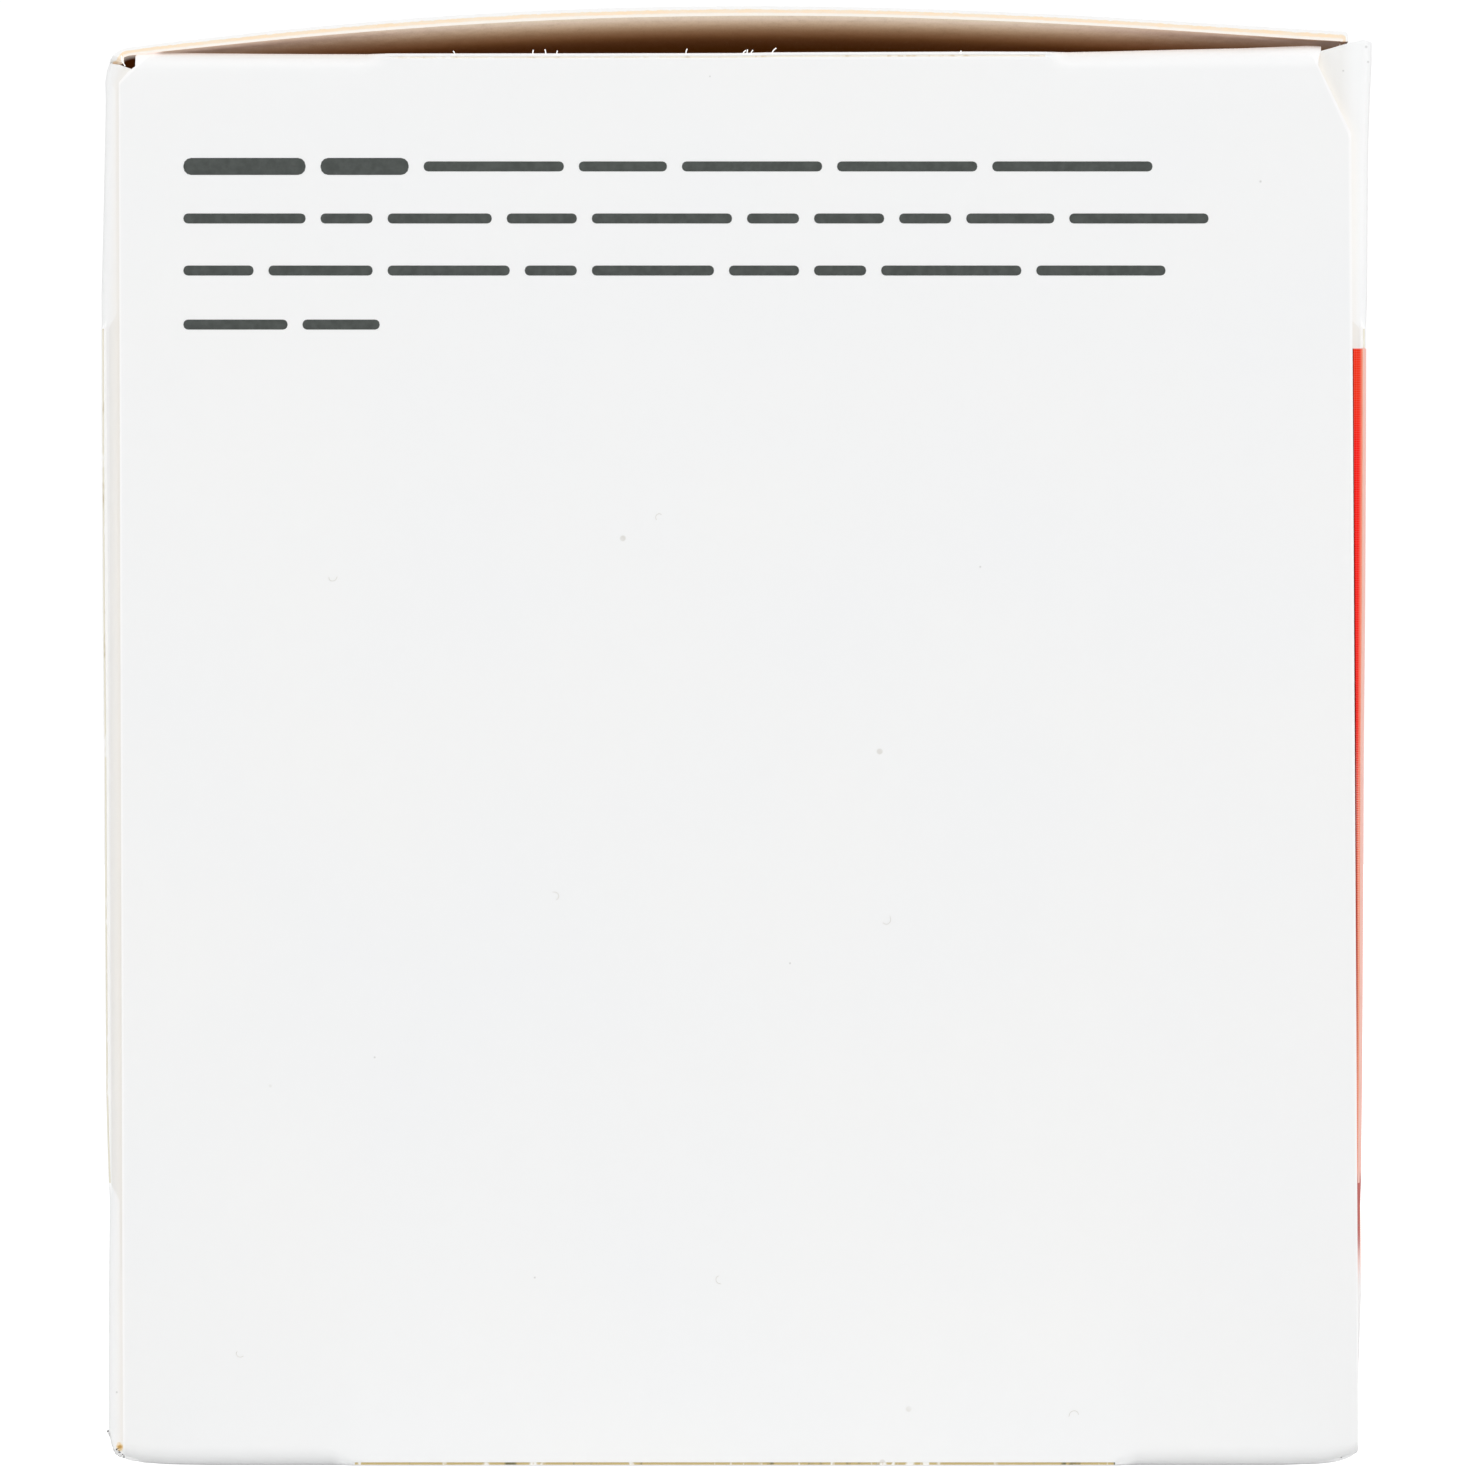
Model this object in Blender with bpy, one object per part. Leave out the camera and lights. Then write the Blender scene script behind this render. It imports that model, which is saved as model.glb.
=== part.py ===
"""A shut tea carton, folded from one blank of thin white-coated board.

Its narrow end, with the end panel glued over the corner flaps, faces -Y. The lid is hinged on
the back wall at -X, bows upwards, and tucks inside the front wall at +X. The other end is alike.
All values are in metres, +Z is up, and the origin is in the middle of the base.
"""

import math

import bmesh
import bpy

MM = 0.001

# The folded carton
LENGTH = 128 * MM
BASE_HALF_WIDTH = 33.1 * MM
BACK_LEAN = 0.3 * MM  # how far the back wall leans out over its height
FRONT_LEAN = 0.6 * MM
HEIGHT = 75 * MM  # the fold between end panel and dust flap
BOARD = 0.42 * MM

# Folds: soft where the board is only creased, tight where it is cut half through
BASE_FOLD = 0.9 * MM
WALL_FOOT = 1.3 * MM  # above every fold of the base
SOFT_FOLD = 0.6 * MM
TIGHT_FOLD = 0.2 * MM
SOFT_END_FOLD = 1.06 * MM
WALL_CUT_LOW = 15 * MM  # heights between which the corner folds are cut
WALL_CUT_HIGH = 60.6 * MM
END_CUT_HALF = 20 * MM  # half the length of the cut in the base fold
FOLD_RUN = 1.5 * MM  # over which a fold changes from soft to tight

# End panel: one ply that stands on the corner flaps, with cut top corners
PANEL_INSET = 0.66 * MM  # strip of corner flap left beside it
PANEL_TOP = HEIGHT - 0.02 * MM
BACK_CUT = (0.95 * MM, 0.8 * MM, 0.95 * MM)  # width, height of the upright, height of the slant
FRONT_CUT = (1.9 * MM, 0.7 * MM, 3.7 * MM)

# Lid: an arch from the hinge fold on the back wall to the tuck inside the front wall
HINGE_FOLD = 0.8 * MM
HINGE_TOP = 75.2 * MM
TUCK_X = 32.47 * MM
TUCK_TOP = 76.05 * MM
TUCK_FOLD = 0.25 * MM
FRONT_RIM = 75.65 * MM
BOW = 1.78 * MM
BOW_POWER = 1.15
BOW_SKEW = 0.18  # the arch is fuller near the hinge
HINGE_HOLLOW = (-32.33 * MM, -31.73 * MM, 74.25 * MM, 74.87 * MM)

# How finely the curves are cut
ARCH_STEPS = 26
FOLD_STEPS = 4
WALL_STEPS = 5  # on each stretch of wall
WELD = 0.0001 * MM
CUTTER_LENGTH = LENGTH + 10 * MM

WHITE_BOARD = (0.896, 0.9, 0.905, 1)


def back_x(z):
    return -(BASE_HALF_WIDTH + BACK_LEAN * z / HEIGHT)


def front_x(z):
    return BASE_HALF_WIDTH + FRONT_LEAN * z / HEIGHT


def blend(value, start, end):
    """0 before start, 1 after end, and smooth between them."""
    share = min(max((value - start) / (end - start), 0), 1)
    return share * share * (3 - 2 * share)


def corner_fold(z):
    """Radius of the upright fold between a wall and its corner flap at height z."""
    low = blend(z, WALL_CUT_LOW - FOLD_RUN, WALL_CUT_LOW)
    high = blend(z, WALL_CUT_HIGH, WALL_CUT_HIGH + FOLD_RUN)
    return SOFT_FOLD + (TIGHT_FOLD - SOFT_FOLD) * low * (1 - high)


def end_fold(x):
    """Radius of the fold between base and end panel at x."""
    soft = blend(abs(x), END_CUT_HALF, END_CUT_HALF + FOLD_RUN)
    return TIGHT_FOLD + (SOFT_END_FOLD - TIGHT_FOLD) * soft


def fold_inset(depth, radius):
    """How far a fold of this radius has turned away from its panel, this deep behind the face."""
    if depth >= radius:
        return 0
    return radius - math.sqrt(radius**2 - (radius - depth) ** 2)


HINGE_X = back_x(HINGE_TOP) + HINGE_FOLD  # where the hinge fold runs out into the lid


def lid_top(x):
    """Height of the lid's upper face."""
    middle = (HINGE_X + TUCK_X) / 2
    half = (TUCK_X - HINGE_X) / 2
    share = (x - middle) / half
    chord = HINGE_TOP + (TUCK_TOP - HINGE_TOP) * (share + 1) / 2
    rise = max(1 - share * share, 0) ** BOW_POWER
    return chord + BOW * rise * (1 - BOW_SKEW * share)


def steps(start, end, count):
    """count + 1 values from start to end."""
    return [start + (end - start) * i / count for i in range(count + 1)]


def arc(center, radius, start, end, count):
    """Points of an arc, with its angles in degrees from +X towards +Z."""
    angles = [math.radians(a) for a in steps(start, end, count)]
    return [(center[0] + radius * math.cos(a), center[1] + radius * math.sin(a)) for a in angles]


def wall_heights(low, high):
    """Heights along a wall, closer together where its fold changes."""
    soft_low = WALL_CUT_LOW - FOLD_RUN
    soft_high = WALL_CUT_HIGH + FOLD_RUN
    heights = [low, (low + soft_low) / 2]
    heights += steps(soft_low, WALL_CUT_LOW, 2)
    heights += steps(WALL_CUT_LOW, WALL_CUT_HIGH, WALL_STEPS)[1:-1]
    heights += steps(WALL_CUT_HIGH, soft_high, 2)
    return heights + [(soft_high + high) / 2, high]


def base_stations():
    """Places across the base, from the front wall to the back wall."""
    edge = BASE_HALF_WIDTH - BASE_FOLD
    soft = END_CUT_HALF + FOLD_RUN
    right = [edge, (edge + soft) / 2] + steps(soft, END_CUT_HALF, 3)
    return right + [0] + [-x for x in reversed(right)]


def wrap_section(depth):
    """XZ outline of walls, base and lid, this far behind the corner flaps' outer face."""
    behind_panel = depth + BOARD
    points = [(x, fold_inset(behind_panel, end_fold(x))) for x in base_stations()]
    for side in (-1, 1):
        wall = back_x if side < 0 else front_x
        top = HINGE_TOP - HINGE_FOLD if side < 0 else FRONT_RIM
        center = (side * (BASE_HALF_WIDTH - BASE_FOLD), BASE_FOLD)
        corner = arc(center, BASE_FOLD, -90, 0 if side > 0 else -180, FOLD_STEPS)[1:]
        rounded = []
        for x, z in corner:
            up = z / BASE_FOLD
            lift = fold_inset(behind_panel, SOFT_END_FOLD) * (1 - up)
            rounded.append((x - side * up * fold_inset(depth, SOFT_FOLD), z + lift))
        heights = wall_heights(WALL_FOOT, top)
        upright = [(wall(z) - side * fold_inset(depth, corner_fold(z)), z) for z in heights]
        if side < 0:
            points += rounded + upright + lid_outline()
        else:
            points += (rounded + upright)[::-1]
    return points


def lid_outline():
    """XZ outline of the hinge fold, the bowed lid, its tuck fold and the front wall's rim."""
    center = (HINGE_X, HINGE_TOP - HINGE_FOLD)
    hinge = arc(center, HINGE_FOLD, 170, 90, FOLD_STEPS)
    last = TUCK_X - TUCK_FOLD
    arch = [(x, lid_top(x)) for x in steps(HINGE_X, last, ARCH_STEPS)[1:]]
    tuck = [(TUCK_X, arch[-1][1] - TUCK_FOLD), (TUCK_X, FRONT_RIM)]
    return hinge + arch + tuck


def panel_section(depth):
    """XZ outline of the end panel's ply, this far behind its face, point for point as the wrap."""
    points = [(x, fold_inset(depth, end_fold(x))) for x in base_stations()]
    low = fold_inset(depth, SOFT_END_FOLD)
    top = PANEL_TOP - fold_inset(depth, BOARD)
    sides = []
    for side, cut in ((-1, BACK_CUT), (1, FRONT_CUT)):
        wall = back_x if side < 0 else front_x
        width, upright_cut, slant = cut
        shoulder = PANEL_TOP - upright_cut - slant
        corner = steps(low, WALL_FOOT, FOLD_STEPS + 1)[1:-1]
        heights = corner + wall_heights(WALL_FOOT, shoulder)
        edge = [(wall(z) - side * PANEL_INSET, z) for z in heights]
        inner = edge[-1][0] - side * width
        sides.append((edge, inner, shoulder + slant))
    (back_edge, back_inner, back_neck), (front_edge, front_inner, front_neck) = sides
    shoulder_x, shoulder_z = back_edge[-1]
    slant = [
        (shoulder_x + (back_inner - shoulder_x) * share, shoulder_z + (back_neck - shoulder_z) * share)
        for share in steps(0, 1, FOLD_STEPS)[1:]
    ]
    across = [(x, top) for x in steps(back_inner, front_inner, ARCH_STEPS)]
    points += back_edge + slant + across
    points += [(front_inner, (top + front_neck) / 2), (front_inner, front_neck)]
    return points + front_edge[::-1]


def skin(name, rings):
    """A closed mesh over rings of points, each joined to the next and the two ends filled."""
    shape = bmesh.new()
    loops = [[shape.verts.new(point) for point in ring] for ring in rings]
    for near, far in zip(loops, loops[1:]):
        for i in range(len(near)):
            j = (i + 1) % len(near)
            shape.faces.new((near[i], near[j], far[j], far[i]))
    shape.faces.new(loops[0])
    shape.faces.new(loops[-1])
    bmesh.ops.remove_doubles(shape, verts=shape.verts, dist=WELD)
    bmesh.ops.recalc_face_normals(shape, faces=shape.faces)
    return to_object(name, shape)


def long_cutter(name, outline):
    """A closed prism from an XZ outline, which runs out past both ends of the carton."""
    shape = bmesh.new()
    near = shape.faces.new([shape.verts.new((x, -CUTTER_LENGTH / 2, z)) for x, z in outline])
    grown = bmesh.ops.extrude_face_region(shape, geom=[near])["geom"]
    far = [item for item in grown if isinstance(item, bmesh.types.BMVert)]
    bmesh.ops.translate(shape, verts=far, vec=(0, CUTTER_LENGTH, 0))
    bmesh.ops.recalc_face_normals(shape, faces=shape.faces)
    return to_object(name, shape)


def to_object(name, shape):
    mesh = bpy.data.meshes.new(name)
    shape.to_mesh(mesh)
    shape.free()
    made = bpy.data.objects.new(name, mesh)
    bpy.context.scene.collection.objects.link(made)
    return made


def at_end(section, y):
    return [(x, y, z) for x, z in section]


def end_rings():
    """Rings from the near end panel's face back to where every fold has run out."""
    face = -LENGTH / 2
    panel_depths = steps(0, BOARD, 3)
    turns = [math.radians(angle) for angle in steps(0, 90, 3)]
    wrap_depths = [SOFT_FOLD * (1 - math.cos(turn)) for turn in turns] + [SOFT_END_FOLD]
    rings = [at_end(panel_section(depth), face + depth) for depth in panel_depths]
    return rings + [at_end(wrap_section(depth), face + BOARD + depth) for depth in wrap_depths]


def make_board():
    material = bpy.data.materials.new("white_board")
    material.use_nodes = True
    shader = material.node_tree.nodes["Principled BSDF"]
    shader.inputs["Base Color"].default_value = WHITE_BOARD
    shader.inputs["Roughness"].default_value = 0.62
    shader.inputs["Metallic"].default_value = 0
    return material


def make_carton():
    """Walls, base, lid and both end panels as one closed body, still without its hollows."""
    near = end_rings()
    far = [[(x, -y, z) for x, y, z in ring] for ring in reversed(near)]
    carton = skin("carton", near + far)
    carton.data.materials.append(make_board())
    return carton


def make_lid_gap():
    """The lens of air between the bowed lid and the folded-in dust flaps."""
    inner = TUCK_X - BOARD
    xs = [x for x in steps(HINGE_X, inner, ARCH_STEPS * 2) if lid_top(x) - BOARD > HEIGHT]
    roof = [(x, lid_top(x) - BOARD) for x in reversed(xs)]
    start = (xs[0] - BOARD, HEIGHT)
    return long_cutter("lid_gap", [start, (inner, HEIGHT)] + roof)


def make_hinge_hollow():
    """The small channel between the hinge fold and the dust flaps, open at both ends."""
    left, right, low, high = HINGE_HOLLOW
    outline = [(left, low), (right, low), (right, high), (left, high)]
    return long_cutter("hinge_hollow", outline)


def cut(part, cutter):
    cutter.hide_render = True
    cutter.display_type = "WIRE"
    modifier = part.modifiers.new(cutter.name, "BOOLEAN")
    modifier.operation = "DIFFERENCE"
    modifier.solver = "EXACT"
    modifier.object = cutter


def main():
    for old in list(bpy.data.objects):
        bpy.data.objects.remove(old)
    carton = make_carton()
    cut(carton, make_lid_gap())
    cut(carton, make_hinge_hollow())
    carton.data.shade_smooth()
    carton.data.set_sharp_from_angle(angle=math.radians(35))


main()
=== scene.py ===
# %% [markdown]
# # A shut tea carton, seen from its narrow end
#
# The real box is one blank of thin board, white on the outside and brown-grey inside. It is
# folded into four walls and glued at the ends. Its solid is already there as the frame, and
# this lesson makes what the eye sees: the plies, the cut folds, the board's edges and the ink.

# %% The frame, and the box that the solid fills
import math
import random

import bmesh
import bpy
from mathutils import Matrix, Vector


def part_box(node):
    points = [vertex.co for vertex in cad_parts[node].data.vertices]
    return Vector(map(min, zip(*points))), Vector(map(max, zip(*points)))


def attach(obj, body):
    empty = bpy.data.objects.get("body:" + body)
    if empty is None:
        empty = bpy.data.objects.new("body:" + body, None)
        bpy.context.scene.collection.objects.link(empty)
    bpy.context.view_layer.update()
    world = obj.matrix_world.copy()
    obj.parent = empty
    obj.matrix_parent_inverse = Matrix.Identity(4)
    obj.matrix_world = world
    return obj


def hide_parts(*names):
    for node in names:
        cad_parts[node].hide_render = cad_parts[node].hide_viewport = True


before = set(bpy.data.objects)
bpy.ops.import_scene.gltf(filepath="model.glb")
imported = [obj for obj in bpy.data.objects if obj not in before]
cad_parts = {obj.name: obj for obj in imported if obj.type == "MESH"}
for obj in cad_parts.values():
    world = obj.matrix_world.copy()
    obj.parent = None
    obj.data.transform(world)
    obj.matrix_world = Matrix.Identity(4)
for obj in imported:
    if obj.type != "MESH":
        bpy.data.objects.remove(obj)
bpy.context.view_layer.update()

MM = 0.001
LOW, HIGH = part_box("carton")
print("solid, mm:", [round((b - a) / MM, 2) for a, b in zip(LOW, HIGH)])

# %% [markdown]
# The sizes are the solid's own: the walls lean out a little, the end panel is a ply of board
# that stands on the corner flaps, and the lid bows up between its hinge and its tuck.

# %% Sizes of the folded board
END_FACE = 64 * MM  # the end panel's outer face, from the middle of the box
BOARD = 0.42 * MM
FLAP_FACE = END_FACE - BOARD
BASE_HALF = 33.1 * MM
BASE_FOLD = 0.9 * MM
SOFT_FOLD = 0.6 * MM
SOFT_STEPS = 5  # faces round a corner fold
END_FOLD = 1.06 * MM
END_STEPS = 6  # faces round a fold of the end panel
HEIGHT = 74.98 * MM
BACK_TOP = 74.4 * MM
FRONT_RIM = 75.62 * MM
HINGE_FOLD = 0.8 * MM
HINGE_TOP = 75.2 * MM
TUCK_X = 32.58 * MM
TUCK_TOP = 76.05 * MM
TUCK_FOLD = 0.25 * MM
CLOSE = 1e-7  # points nearer than this are one point


def smooth_step(value, start, end):
    share = min(max((value - start) / (end - start), 0), 1)
    return share * share * (3 - 2 * share)


def lid_height(x):
    """Height of the lid's upper face across the box."""
    left = -(BASE_HALF + 0.3 * MM) + HINGE_FOLD
    middle, half = (left + TUCK_X) / 2, (TUCK_X - left) / 2
    share = (x - middle) / half
    chord = HINGE_TOP + (TUCK_TOP - HINGE_TOP) * (share + 1) / 2
    rise = max(1 - share * share, 0) ** 1.15
    return chord + 1.78 * MM * rise * (1 - 0.18 * share)


print("top of the bow, mm:", round(lid_height(0) / MM, 2))

# %% [markdown]
# Modelling goes as by hand: add a primitive, go into edit mode, pick faces or edges by where
# they lie, and use an operator on them. These few helpers hold the steps that come back.

# %% Helpers for modelling
def alone(piece=None):
    """Selects nothing, or only this piece, and makes it the active one."""
    bpy.ops.object.select_all(action="DESELECT")
    if piece:
        piece.select_set(True)
        bpy.context.view_layer.objects.active = piece


def settle(piece, name):
    """Names the piece and puts its place and turn into its mesh."""
    piece.name = piece.data.name = name
    alone(piece)
    bpy.ops.object.transform_apply(location=True, rotation=True, scale=True)
    return piece


def block(name, low, high):
    alone()
    middle = [(a + b) / 2 for a, b in zip(low, high)]
    bpy.ops.mesh.primitive_cube_add(size=1, location=middle)
    bpy.context.object.scale = [b - a for a, b in zip(low, high)]
    return settle(bpy.context.object, name)


def edit(piece):
    alone(piece)
    bpy.ops.object.mode_set(mode="EDIT")


def leave_edit():
    bpy.ops.object.mode_set(mode="OBJECT")


def pick(kind, test):
    """In edit mode: selects the corners, edges or faces that pass, each by its middle and points."""
    bpy.ops.mesh.select_all(action="DESELECT")
    bpy.ops.mesh.select_mode(type=kind)
    mesh = bmesh.from_edit_mesh(bpy.context.object.data)
    items = {"VERT": mesh.verts, "EDGE": mesh.edges, "FACE": mesh.faces}[kind]
    count = 0
    for item in items:
        points = [item.co] if kind == "VERT" else [v.co for v in item.verts]
        middle = sum((p for p in points), Vector()) / len(points)
        if test(middle, points):
            item.select_set(True)
            count += 1
    mesh.select_flush_mode()
    bmesh.update_edit_mesh(bpy.context.object.data)
    return count


def slice_at(normal, *places):
    """In edit mode: cuts all faces along planes across one direction, at these distances."""
    for place in places:
        bpy.ops.mesh.select_all(action="SELECT")
        point = Vector(normal) * place
        bpy.ops.mesh.bisect(plane_co=point, plane_no=normal, threshold=CLOSE)


def slice_along(first, second):
    """In edit mode: cuts all faces by the upright plane through two points of the end face."""
    (x0, z0), (x1, z1) = first, second
    bpy.ops.mesh.select_all(action="SELECT")
    across = (z1 - z0, 0, x0 - x1)
    bpy.ops.mesh.bisect(plane_co=(x0, 0, z0), plane_no=across, threshold=CLOSE)


def remove_faces(test):
    pick("FACE", lambda middle, points: test(middle))
    bpy.ops.mesh.delete(type="FACE")


def pull(step):
    """In edit mode: extrudes what is selected by one step."""
    bpy.ops.mesh.extrude_region_move(TRANSFORM_OT_translate={"value": step})


def join(pieces, name):
    alone(pieces[0])
    for piece in pieces[1:]:
        piece.select_set(True)
    bpy.ops.object.join()
    return settle(bpy.context.object, name)


def finish_modifier(piece, kind, **settings):
    alone(piece)
    modifier = piece.modifiers.new(kind.lower(), kind)
    for name, value in settings.items():
        setattr(modifier, name, value)
    bpy.ops.object.modifier_apply(modifier=modifier.name)


# %% [markdown]
# A sheet of board has a coated face, a brown reverse and a cut edge that shows its layers. The
# piece is modelled as the coated face alone. Solidify then gives it its thickness, with other
# materials on the edge and the reverse. An attribute called depth says how far through the
# board a point is: 0 on the coat and 1 on the reverse. The cut edge's finish reads it.

# %% Thickness for a sheet
COAT, RIM, REVERSE, SLIT = range(4)  # the order of a sheet's materials


def depth_values(piece):
    if "depth" not in piece.data.attributes:
        piece.data.attributes.new("depth", "FLOAT", "POINT")
    return piece.data.attributes["depth"].data


def thicken(piece, limit):
    """Gives the sheet its board thickness. limit(point) keeps the inner face out of tight folds."""
    outer = len(piece.data.vertices)
    for _ in (COAT, RIM, REVERSE, SLIT):
        piece.data.materials.append(None)
    finish_modifier(
        piece, "SOLIDIFY", thickness=BOARD, offset=-1, material_offset=REVERSE,
        material_offset_rim=RIM,
    )
    depth = depth_values(piece)
    for vertex in piece.data.vertices[outer:]:
        depth[vertex.index].value = 1
        vertex.co = limit(vertex.co)
    edit(piece)
    bpy.ops.mesh.select_all(action="SELECT")
    bpy.ops.mesh.remove_doubles(threshold=CLOSE * 5)
    leave_edit()
    print(piece.name, "faces:", len(piece.data.polygons))


# %% [markdown]
# ## The wrap: walls, base, corner flaps and lid
#
# One strip of board makes the back wall, the base, the front wall and the lid. It starts as a
# block without its top. The long folds and the corner folds are bevels. Planes then cut rows of
# points into it, where the folds turn sharp and where the corner flaps end.

# %% The block and its folds
FLAP_WIDTH = 14 * MM
CUT_LOW, CUT_HIGH, CUT_RUN = 15 * MM, 60.3 * MM, 1.2 * MM

wrap = block("wrap", (-BASE_HALF, -FLAP_FACE, 0), (BASE_HALF, FLAP_FACE, FRONT_RIM))
edit(wrap)
remove_faces(lambda middle: middle.z > FRONT_RIM - CLOSE)
pick("EDGE", lambda middle, points: abs(middle.y) < CLOSE and middle.z < CLOSE)
bpy.ops.mesh.bevel(offset=BASE_FOLD, segments=6, affect="EDGES")
pick(
    "EDGE",
    lambda middle, points: all(abs(p.y) > FLAP_FACE - CLOSE for p in points)
    and min(p.z for p in points) < FRONT_RIM - CLOSE,
)
bpy.ops.mesh.bevel(offset=SOFT_FOLD, segments=SOFT_STEPS, affect="EDGES")
heights = [2, 5, 9, 12, 13.8, 14.4, 15, 17, 20, 25, 30, 38, 46, 54]
heights += [60.3, 60.5, 60.7, 62, 66, 70, 72.5]
slice_at((0, 0, 1), *[z * MM for z in heights], 73.4 * MM, 74 * MM, BACK_TOP)
slice_at((0, 1, 0), *[y * MM for y in (-61.5, -58, -50, 50, 58, 61.5)])
slice_at((1, 0, 0), *[x * MM for x in (-32.9, -32.42, -32.16, -31.9, 30.7, 31.25, 31.62, 32.0)])
slice_at((1, 0, 0), -FLAP_WIDTH, FLAP_WIDTH)
NEAR_WALL = FLAP_FACE - SOFT_FOLD - CLOSE
remove_faces(lambda m: abs(m.y) > NEAR_WALL and abs(m.x) < FLAP_WIDTH and m.z > 1 * MM)
remove_faces(lambda m: m.z > BACK_TOP and m.x < 30.7 * MM)
remove_faces(lambda m: m.z > 74 * MM and -31.9 * MM < m.x < 30.7 * MM)
leave_edit()
print("wrap without its lid:", len(wrap.data.polygons), "faces")

# %% [markdown]
# The lid is the back wall's top edge, extruded along an arc for the hinge, then along the bow,
# then round the tuck fold and down behind the front wall. Each step is one extrude, and the
# steps are short where the board turns.

# %% The lid, pulled out of the back wall
LID_STEPS = 34
TUCK_BEND = (0.52, 0.56)  # how far below the lid the tuck turns inwards, mm
hinge = [
    (-33.1, 74.4), (-33.02, 74.6), (-32.9, 74.79), (-32.69, 74.97), (-32.45, 75.1), (-32.15, 75.19),
]
path = [(x * MM, z * MM) for x, z in hinge]
last_x = TUCK_X - TUCK_FOLD
for i in range(1, LID_STEPS + 1):
    x = path[5][0] + (last_x - path[5][0]) * i / LID_STEPS
    path.append((x, lid_height(x)))
for angle in (60, 30, 0):
    turn = math.radians(angle)
    drop = TUCK_FOLD * (1 - math.sin(turn))
    path.append((last_x + TUCK_FOLD * math.cos(turn), lid_height(last_x) - drop))
for drop in TUCK_BEND:
    path.append((TUCK_X, lid_height(last_x) - drop * MM))
path.append((TUCK_X, 72 * MM))
path.append((TUCK_X - 0.2 * MM, 62 * MM))

edit(wrap)
found = pick(
    "EDGE",
    lambda m, points: m.x < -BASE_HALF + CLOSE * 10
    and all(p.z > BACK_TOP - CLOSE * 10 for p in points)
    and all(abs(p.y) < FLAP_FACE - SOFT_FOLD + CLOSE * 10 for p in points),
)
for (x0, z0), (x1, z1) in zip(path, path[1:]):
    pull((x1 - x0, 0, z1 - z0))
leave_edit()
print("lid pulled from", found, "edges in", len(path) - 1, "steps")

# %% [markdown]
# The corner folds are soft near their ends. Over the middle they are cut half through, so they
# are sharp, stand out a little, and show a slit of bare core between two raised lips. Each line
# below lists the six points round such a fold: how far in from the side, and from the end.

# %% The corner folds where they are cut
LID_END, TUCK_END = 63.6 * MM, 62 * MM
BACK_CUT_FOLD = [(0, 0.42), (-0.01, 0.17), (0.04, 0.11), (0.14, 0.0), (0.16, -0.05), (0.32, 0.0)]
FRONT_CUT_FOLD = [(0, 0.42), (0.0, 0.22), (0.08, 0.14), (0.19, 0.0), (0.21, -0.05), (0.38, 0.0)]


def in_cut(z):
    """1 where the corner folds are cut, 0 where they are soft."""
    started = smooth_step(z, CUT_LOW - CUT_RUN, CUT_LOW)
    return started * (1 - smooth_step(z, CUT_HIGH, CUT_HIGH + CUT_RUN / 3))


print("corner folds cut from", round(CUT_LOW / MM, 1), "to", round(CUT_HIGH / MM, 1), "mm")

# %% [markdown]
# The box is a little out of true. These lines, in millimetres, say where the sloping tops of the
# corner flaps are, how the foot curls up at its corners, and how far each wall leans out.

# %% Outlines of the flaps, the foot and the walls
CURL_FROM, CURL_FULL = 57 * MM, 61 * MM  # towards the ends, the foot curls up over this stretch
WAVY_FROM, WAVY_FULL = 50 * MM, 60 * MM  # and the walls turn from straight to wavy
BACK_FLAP_TOP = ((-33.1, 74.39), (-32.5, 74.27), (-31.9, 74.05))
FRONT_FLAP_TOP = (
    (30.7, 74.92), (31.25, 75.05), (31.62, 75.16), (32.41, 75.4), (32.95, 75.54), (33.5, 75.61),
    (33.8, 75.5),
)


def along(line, x):
    """Height on a line of straight pieces at x, all in millimetres."""
    if x <= line[0][0]:
        return line[0][1]
    for (x0, z0), (x1, z1) in zip(line, line[1:]):
        if x < x1:
            return z0 + (z1 - z0) * (x - x0) / (x1 - x0)
    return line[-1][1]


def flap_top(x):
    """Height of a corner flap's top edge, which is cut on a slope."""
    return along(BACK_FLAP_TOP if x < 0 else FRONT_FLAP_TOP, x / MM) * MM


BACK_FOOT = (
    (-33.13, 1.79), (-33.04, 1.31), (-32.82, 0.73), (-32.58, 0.49), (-32.06, 0.28), (-31.33, 0.13),
    (-29.5, 0),
)
FRONT_FOOT = (
    (29.6, 0), (31.02, 0.07), (31.64, 0.15), (32.22, 0.28), (32.7, 0.46), (33.09, 0.71), (33.18, 1.0),
)


def foot(x):
    """How far the folded foot lifts off the floor at x: it curls up at both corners."""
    return along(BACK_FOOT if x < 0 else FRONT_FOOT, x / MM) * MM


BACK_OUTLINE = (
    (1.5, 33.2), (3.5, 33.21), (8.8, 33.2), (14.0, 33.15), (16.7, 33.25), (19.4, 33.33), (30, 33.39),
    (37.7, 33.42), (45.9, 33.5), (54, 33.54), (60, 33.55), (62, 33.57), (66, 33.47), (72.4, 33.34),
    (73.4, 33.37), (74, 33.28), (74.4, 33.14),
)
FRONT_OUTLINE = (
    (1.5, 33.07), (3.5, 33.11), (9, 33.29), (14, 33.25), (19.3, 33.32), (24.6, 33.36), (30, 33.38),
    (37.6, 33.41), (45.9, 33.49), (54, 33.53), (60, 33.53), (62, 33.61), (69.2, 33.64), (72.4, 33.74),
    (74.4, 33.84),
)


def back_wall(z, y):
    """How far the back wall stands out from the block: straight in the middle, wavy at the ends."""
    near_end = smooth_step(abs(y), WAVY_FROM, WAVY_FULL)
    straight = 0.03 * MM + 0.25 * z / 75
    measured = along(BACK_OUTLINE, z / MM) * MM - BASE_HALF
    return straight + (measured - straight) * near_end


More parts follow.
